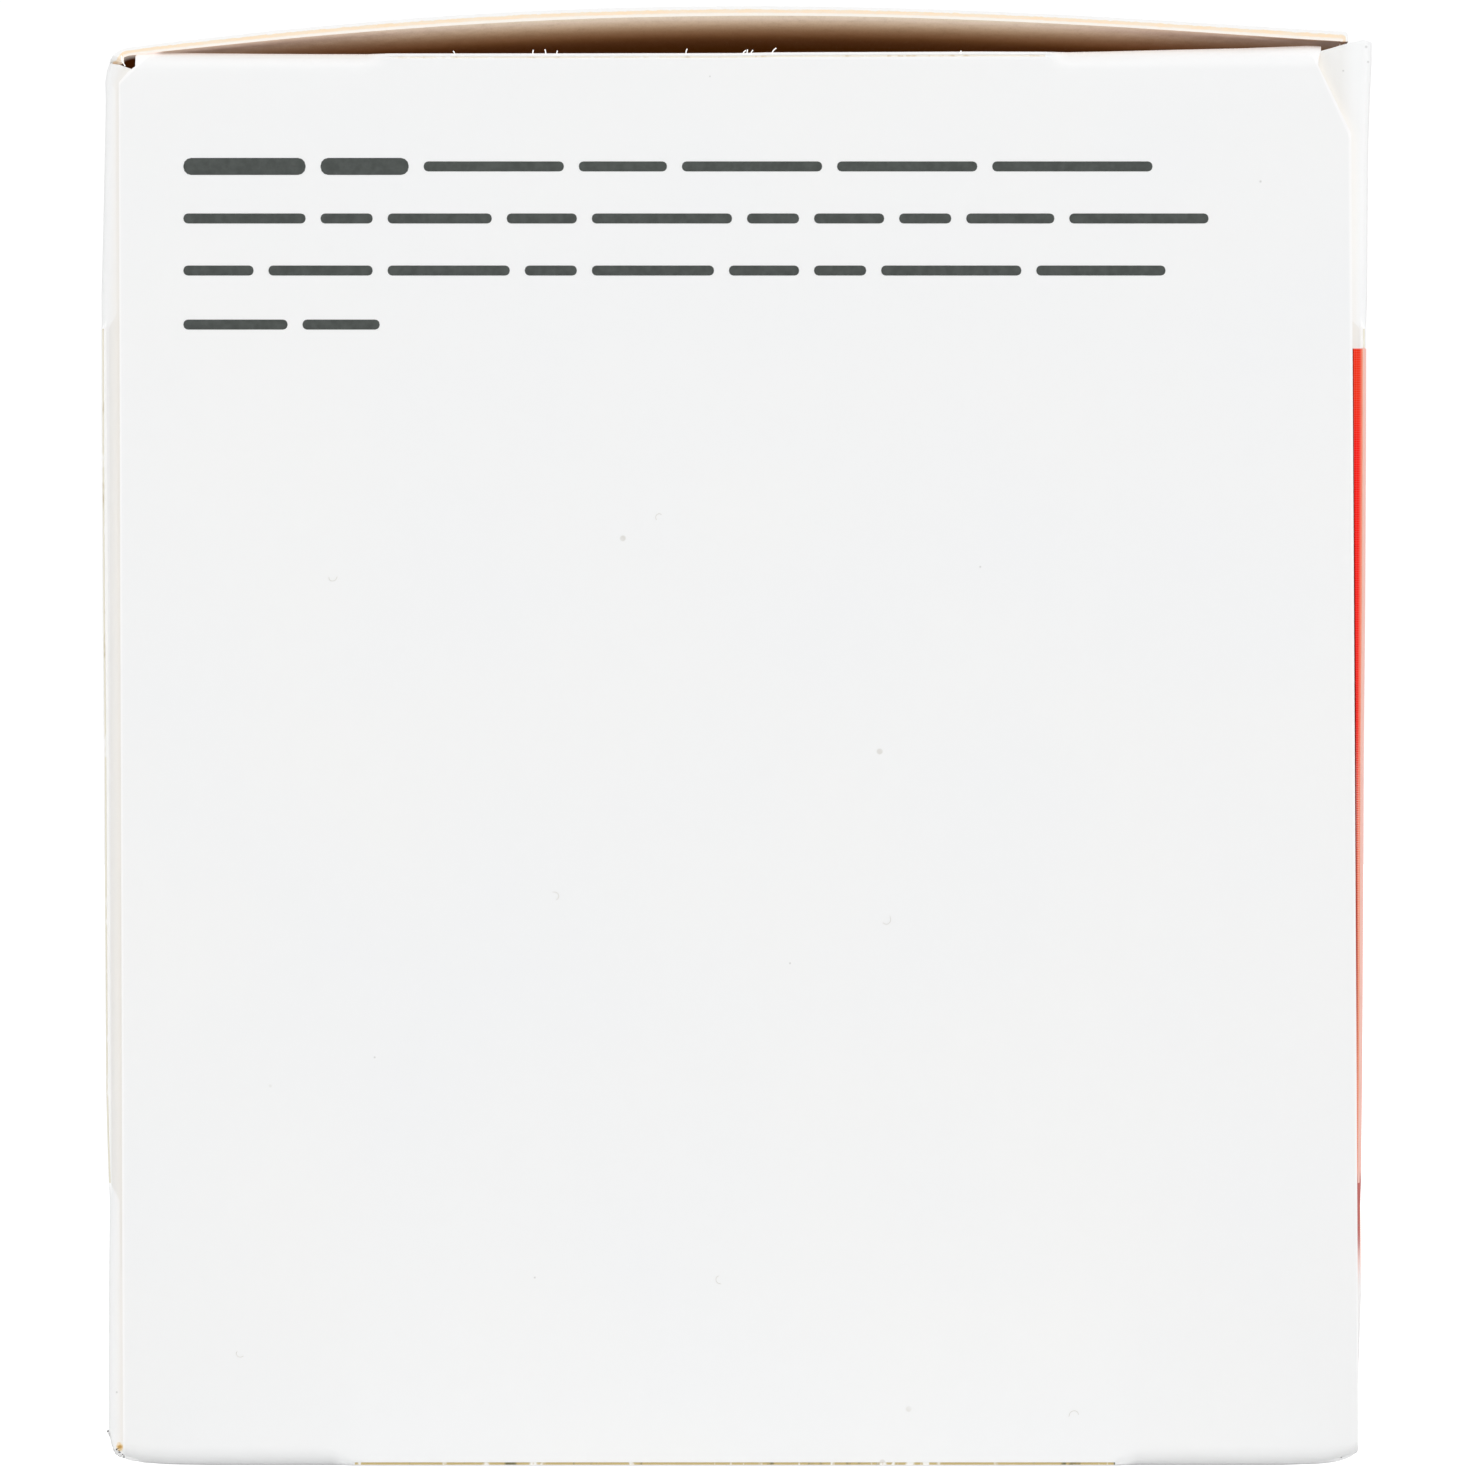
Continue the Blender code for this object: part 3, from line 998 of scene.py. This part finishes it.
def coated_board(name, specular, whites, marks, decorate):
    """The coat between two whites, with soft clouds and streaks along the board's grain."""
    material, shader, place = new_finish(name, 0.62, specular)
    clouds = place.noise(420.0, 3.0, 0.6)
    streaks = place.stretched((2600.0, 2600.0, 300.0)).noise(1.0, 2.0)
    tone = (clouds - 0.5) * 0.05 + (streaks - 0.5) * 0.035 + 0.5
    colour = decorate(place, white_coat(place, tone.mixed(*whites)))
    for px, py, radius in marks:
        mark = place.spot(across(px), up(py), radius * MM)
        colour = (mark * 0.33).mixed(colour, shade(150, 150, 146))
    feed(shader, "Base Color", colour)
    feed(shader, "Roughness", (clouds - 0.5) * 0.12 + 0.6)
    bump(shader, clouds * 0.6 + streaks * 0.4, 0.004 * MM, 0.6)
    return material


def wrap_colour(place, white):
    return worn_corner(place, painted_flap_light_and_shade(place, printed(place, white)))


# The wrap is the same board as the panel; its white is set a little brighter, painted light for its
# strips beside the panel.
PANEL_WHITES = (shade(239, 240, 241), shade(244, 245, 246))
WRAP_WHITES = (shade(242, 243, 244), shade(246, 247, 248))
plain_board = coated_board("coated_board", 0.3, PANEL_WHITES, PANEL_MARKS, painted_rim_highlight)
printed_board = coated_board(
    "coated_board_with_print", 0.06, WRAP_WHITES, FLAP_MARKS, wrap_colour,
)
print("nodes in the print's finish:", len(printed_board.node_tree.nodes))

# %% [markdown]
# A cut edge shows the layers: a thin white coat, a beige core, and a bright line where the
# reverse was crushed. The depth attribute runs from the coat to the reverse, and noise makes
# the borders between the layers uneven. A slit shows only the core, painted greyer and darker
# than on a cut edge, as painted shade in the groove.

# %% The board's cut edge and the slits
def cut_edge():
    material, shader, place = new_finish("board_edge", 0.8, 0.2)
    through = place.node("ShaderNodeAttribute", {"attribute_name": "depth"}, {}, 2)
    ragged = (place.noise(3500.0, 2.0) - 0.5) * 0.22
    layers = place.stretched((900.0, 900.0, 9000.0)).noise(1.0, 2.0)
    core = layers.above(0.5, 0.5).mixed(shade(253, 228, 196), shade(248, 233, 212))
    coat = (through + ragged).above(0.34, 0.12)
    colour = coat.mixed(shade(248, 248, 247), core)
    liner = (through + ragged * 0.6).above(0.7, 0.16)
    colour = liner.mixed(colour, shade(252, 245, 236))
    feed(shader, "Base Color", colour)
    bump(shader, place.noise(5200.0, 3.0), 0.02 * MM, 0.5)
    return material


def crease_core():
    """The slit of a cut fold: bare core, broken where the coat still bridges it."""
    material, shader, place = new_finish("crease_core", 0.85, 0.2)
    broken = place.stretched((900.0, 900.0, 300.0)).noise(1.0, 3.0, 0.7)
    deep = broken.above(0.62, 0.1)
    off_foot, at_top = place.part("Z").above(1 * MM, MM), place.part("Z").above(74 * MM, MM)
    # painted shade: the slit's core is greyer than on a cut edge, darkest at the foot and palest at the
    # top
    side = deep.mixed(shade(232, 228, 212), shade(206, 196, 170))
    top = deep.mixed(shade(242, 236, 224), shade(228, 214, 192))
    shaded_foot_core = deep.mixed(shade(196, 176, 124), shade(120, 112, 80))
    core = off_foot.mixed(shaded_foot_core, at_top.mixed(side, top))
    # dark bits at the foot and at the top of the slit
    dark_bits = place.stretched((620.0, 620.0, 620.0)).noise(1.0, 1.0).above(0.73, 0.02)
    dark_bits = dark_bits * (1 - off_foot * (1 - at_top))
    core = dark_bits.mixed(core, shade(112, 112, 104))
    colour = broken.above(0.4, 0.08).mixed(shade(246, 245, 240), core)
    inked = place.part("X").above(31 * MM, MM) * place.part("Z").above(14 * MM, MM)
    inked = inked * place.part("Z").below(59.3 * MM, 0.1 * MM)
    feed(shader, "Base Color", (inked * 0.85).mixed(colour, shade(240, 186, 174)))
    bump(shader, broken, 0.02 * MM, 0.5)
    return material


edge_finish = cut_edge()
slit_finish = crease_core()
print("finishes:", edge_finish.name, "and", slit_finish.name)

# %% [markdown]
# The reverse is uncoated and brown-grey. In the gap under the lid, light comes back and forth
# between two brown faces, so it is warm near the opening and dark deep inside. That light is
# painted: the reverse glows by a ramp along the depth of the gap, dimmer towards the gap's two
# thin ends, where the brown is painted darker too, as painted shade. A thin strip near the hinge
# glows pale, a painted highlight.

# %% The reverse, and the light in the gap
GAP_GLOW = [
    (0.0, (0.28, 0.26, 0.23, 1)), (0.09, (0.29, 0.25, 0.22, 1)), (0.19, (0.25, 0.2, 0.155, 1)),
    (0.29, (0.175, 0.122, 0.082, 1)), (0.4, (0.11, 0.064, 0.037, 1)), (0.5, (0.08, 0.038, 0.018, 1)),
    (0.61, (0.044, 0.017, 0.005, 1)), (0.72, (0.026, 0.008, 0.002, 1)), (1.0, (0.014, 0.004, 0.0, 1)),
]
GAP_DEPTH = 33 * MM  # the ramp's length, inwards from the lid's end
DEEP_INSIDE = (0.02, 0.006, 0.001, 1)


def reverse_board():
    material, shader, place = new_finish("board_reverse", 0.9, 0.1)
    x, z = place.part("X"), place.part("Z")
    fibres = place.stretched((9000.0, 900.0, 9000.0)).noise(1.0, 3.0, 0.7)
    clouds = place.stretched((1700.0, 330.0, 1700.0)).noise(1.0, 3.0, 0.65)
    colour = (fibres * 0.6 + clouds * 0.4).mixed(shade(190, 172, 150), shade(226, 212, 194))
    # painted shade: the brown turns darker towards the two thin ends of the gap
    widening = x.above(-20 * MM, 22 * MM)
    narrow = (1 - widening) * 0.85 + x.above(20 * MM, 14 * MM) * 0.85
    feed(shader, "Base Color", narrow.mixed(colour, shade(158, 100, 52)))
    # painted light: the lid's reverse glows by a ramp along the gap's depth, dimmed towards its ends;
    # the rest glows faintly dark brown
    inward = (LID_END - place.part("Y").unsigned()) * (1 / GAP_DEPTH)
    painted_glow = inward.node("ShaderNodeValToRGB", {"stops": GAP_GLOW}, {"Fac": inward})
    dim = 1 - x.above(24 * MM, 12 * MM) * 0.6
    dim = dim * x.above(-31 * MM, 0.8 * MM) * (widening * 0.6 + 0.4)
    deeper = inward.above(0.07, 0.1)
    deeper = deeper.math("MAXIMUM", deeper, x.above(28 * MM, 4 * MM))
    dim = 1 - (1 - dim) * deeper
    lid_only = z.above(74.6 * MM, 0.2 * MM) * dim
    # painted highlight: a thin strip of the lid's reverse near the hinge glows pale
    painted_highlight_strip = x.above(-31.68 * MM, 0.05 * MM) * x.below(-30.5 * MM, 0.6 * MM)
    painted_highlight_strip = painted_highlight_strip * z.above(74.8 * MM, 0.05 * MM)
    shader.inputs["Emission Strength"].default_value = 1.0
    lit = (lid_only * (fibres * 0.3 + clouds * 0.7 + 0.5)).mixed(DEEP_INSIDE, painted_glow)
    feed(shader, "Emission Color", painted_highlight_strip.mixed(lit, (0.7, 0.7, 0.7, 1)))
    bump(shader, fibres, 0.02 * MM, 0.6)
    return material


reverse_finish = reverse_board()
print("nodes in the reverse's finish:", len(reverse_finish.node_tree.nodes))

# %% [markdown]
# The ink is a dark grey that is a little uneven, and the fibres are near white. Then each piece
# gets its finishes, in the order of its sheet's materials.

# %% Ink and fibres
def ink_finish():
    material, shader, place = new_finish("dark_ink", 0.5, 0.4)
    worn = place.noise(2600.0, 2.0).above(0.5, 0.6)
    feed(shader, "Base Color", worn.mixed(shade(58, 63, 60), shade(72, 77, 74)))
    return material


def fibre_finish(name, light, dark, painted_glow=0.0):
    material, shader, place = new_finish(name, 0.8, 0.2)
    # painted light: the fibre shines by itself with the given strength
    shader.inputs["Emission Color"].default_value = (1, 1, 1, 1)
    shader.inputs["Emission Strength"].default_value = painted_glow
    feed(shader, "Base Color", place.noise(3000.0).mixed(shade(*dark), shade(*light)))
    return material


def dress(piece, *materials):
    while len(piece.data.materials) < len(materials):
        piece.data.materials.append(None)
    for place, material in enumerate(materials):
        piece.data.materials[place] = material


dress(wrap, printed_board, edge_finish, reverse_finish, slit_finish)
dress(panel, plain_board, edge_finish, reverse_finish, slit_finish)
dress(far_panel, plain_board, edge_finish, reverse_finish, slit_finish)
dress(ink_rows, ink_finish())
dress(curled_fibres, fibre_finish("grey_fibre", (226, 224, 220), (206, 204, 198)))
# The white burrs shine a little by themselves, as painted light.
dress(lip_burrs, fibre_finish("white_fibre", (252, 252, 252), (246, 246, 244), 0.3))
print("materials:", len(bpy.data.materials))

# %% [markdown]
# The folded faces are shaded smooth across the bevels and keep their hard edges at the cuts.
# Then each piece is tied to the box: it rides on its body and takes the place of the solid.

# %% Smooth shading, and the pieces on the frame
for piece in (wrap, panel, far_panel, curled_fibres, lip_burrs):
    alone(piece)
    bpy.ops.object.shade_smooth_by_angle(angle=math.radians(32))
    for face in piece.data.polygons:
        if face.material_index == RIM:
            face.use_smooth = False
for piece in (wrap, panel, far_panel, ink_rows, curled_fibres, lip_burrs):
    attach(piece, "root")
    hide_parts("carton")

# %% [markdown]
# ## Floor, light and camera
#
# The picture is a bright product shot on white. So the floor is plain and almost white, and to
# the camera it glows a little more than it does to the box.

# %% Floor
alone()
bpy.ops.mesh.primitive_plane_add(size=6, location=(0, 0, 0))
floor = settle(bpy.context.object, "floor")
floor_material, floor_shader, floor_place = new_finish("pale_floor", 0.8, 0.2)
uneven = floor_place.noise(3.0)
feed(floor_shader, "Base Color", uneven.mixed(shade(204, 204, 204), shade(208, 208, 208)))
floor_shader.inputs["Emission Color"].default_value = (1, 1, 1, 1)
seen = floor_place.node("ShaderNodeLightPath", {}, {})
feed(floor_shader, "Emission Strength", seen * 0.9 + 0.19)
dress(floor, floor_material)
print("floor, m:", [round(size, 2) for size in floor.dimensions])

# %% [markdown]
# Wide soft lights stand on all sides, the strongest in front of the end. The world is white, and
# brighter to the camera than to the box, so that the background is pure white.

# %% Light
def area_light(name, place, width, height, power, colour=(1, 1, 1)):
    alone()
    bpy.ops.object.light_add(type="AREA", location=place)
    light = bpy.context.object
    light.name = name
    light.data.shape = "RECTANGLE"
    light.data.size, light.data.size_y = width, height
    light.data.energy = power
    light.data.color = colour
    aim = Vector((0, 0, 0.04)) - Vector(place)
    light.rotation_euler = aim.to_track_quat("-Z", "Y").to_euler()
    return light


area_light("front_window", (0, -1.6, 1.1), 1.6, 0.8, 9.6)
area_light("low_window", (0, -1.7, 0.2), 1.6, 0.36, 2.5)
area_light("left_window", (-1.5, -0.5, 0.5), 0.9, 0.9, 7)
area_light("right_window", (1.5, -0.5, 0.5), 0.9, 0.9, 8.5)
area_light("top_window", (0, 0.1, 1.5), 1.4, 1.4, 2)
area_light("back_window", (0, 1.7, 0.8), 1.6, 0.8, 4.5)

print("lights:", len(bpy.data.lights))

# %% The white world
world = bpy.data.worlds.new("studio")
bpy.context.scene.world = world
world.use_nodes = True
nodes, links = world.node_tree.nodes, world.node_tree.links
background = nodes["Background"]
rays = nodes.new("ShaderNodeLightPath")
strength = nodes.new("ShaderNodeMapRange")
strength.inputs["To Min"].default_value = 0.4
strength.inputs["To Max"].default_value = 1.05
links.new(rays.outputs["Is Camera Ray"], strength.inputs["Value"])
links.new(strength.outputs["Result"], background.inputs["Strength"])
background.inputs["Color"].default_value = (1, 1, 1, 1)
bpy.context.scene.view_settings.view_transform = "Standard"
print("background nodes:", len(nodes))

# %% [markdown]
# The camera stands level and far off, with a long lens, and faces the end. Its picture is as
# wide as the drawing of the end that the marks and the bars are placed on.

# %% Camera
DISTANCE = 0.65
FRAME_WIDTH = 1472.5 / SCALE * MM
eye = (across(737), -END_FACE - DISTANCE, up(737))
alone()
bpy.ops.object.camera_add(location=eye, rotation=(math.pi / 2, 0, 0))
camera = bpy.context.object
camera.name = "camera"
camera.data.sensor_width = 36
camera.data.lens = 36 * DISTANCE / FRAME_WIDTH
camera.data.clip_start, camera.data.clip_end = 0.01, 20
bpy.context.scene.camera = camera
print("lens, mm:", round(camera.data.lens, 1))
